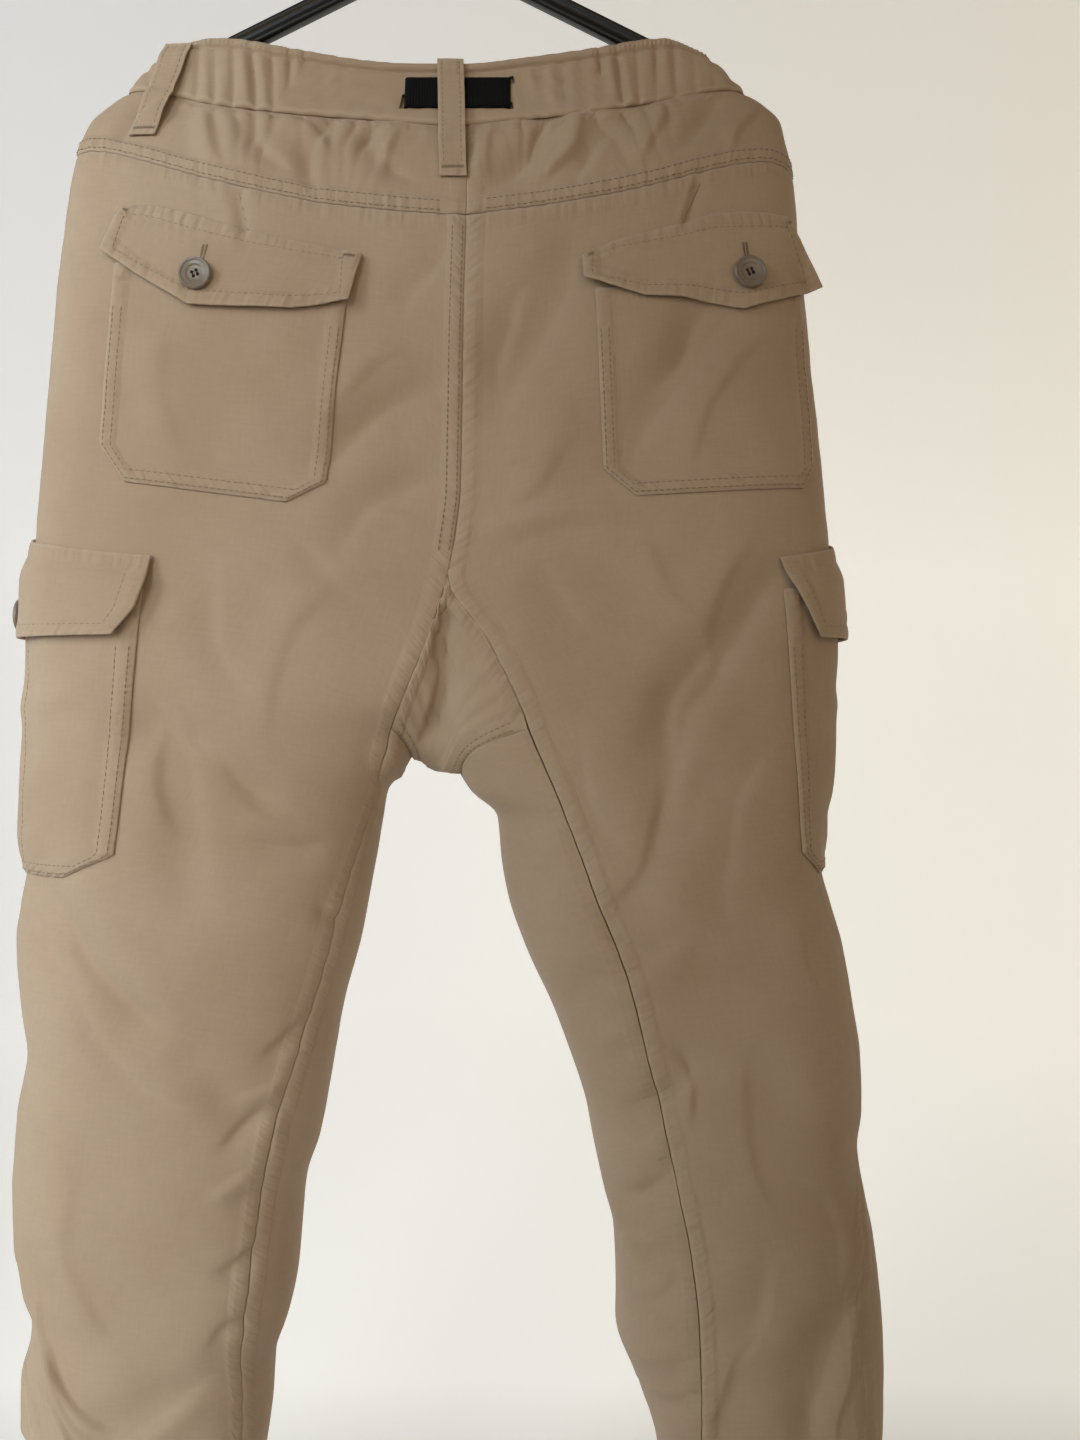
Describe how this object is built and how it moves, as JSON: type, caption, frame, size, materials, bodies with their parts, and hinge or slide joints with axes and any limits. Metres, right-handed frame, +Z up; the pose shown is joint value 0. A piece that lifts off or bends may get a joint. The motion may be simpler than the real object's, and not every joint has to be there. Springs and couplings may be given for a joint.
{
  "type": "cargo pants on a coat hanger",
  "caption": "Loose cargo trousers with a gathered waistband, patch and side pockets with buttoned flaps and a crotch gusset, hanging on a coat hanger.",
  "frame": {"origin": "inside top of the hanger's hook, where a rail carries it", "axes": "+Z up, +X to the right as seen from behind the garment, -Y the way the garment's back faces"},
  "size_m": [0.5016, 0.1171, 1.1343],
  "materials": {
    "khaki_cloth": "matt cotton and polyester twill",
    "black_webbing": "ribbed webbing",
    "brown_button": "satin moulded polyester",
    "black_plastic": "satin moulded",
    "hook_steel": "bright zinc plated wire"
  },
  "bodies": {
    "root": {"waistband": "khaki_cloth", "yoke_left": "khaki_cloth", "yoke_right": "khaki_cloth", "back_left": "khaki_cloth", "back_right": "khaki_cloth", "front_left": "khaki_cloth", "front_right": "khaki_cloth", "gusset": "khaki_cloth", "fly": "khaki_cloth", "belt_back": "black_webbing", "belt_front": "black_webbing", "buckle": "black_plastic", "hanger": "black_plastic", "hook": "hook_steel", "back_pocket_left": "khaki_cloth", "back_flap_left": "khaki_cloth", "cargo_pocket_left": "khaki_cloth", "cargo_flap_left": "khaki_cloth", "back_button_left": "brown_button", "cargo_button_left": "brown_button", "back_pocket_right": "khaki_cloth", "back_flap_right": "khaki_cloth", "cargo_pocket_right": "khaki_cloth", "cargo_flap_right": "khaki_cloth", "back_button_right": "brown_button", "cargo_button_right": "brown_button", "loop_back_centre": "khaki_cloth", "loop_side_left": "khaki_cloth", "loop_side_right": "khaki_cloth", "loop_front_left": "khaki_cloth", "loop_front_right": "khaki_cloth"}
  },
  "joints": []
}
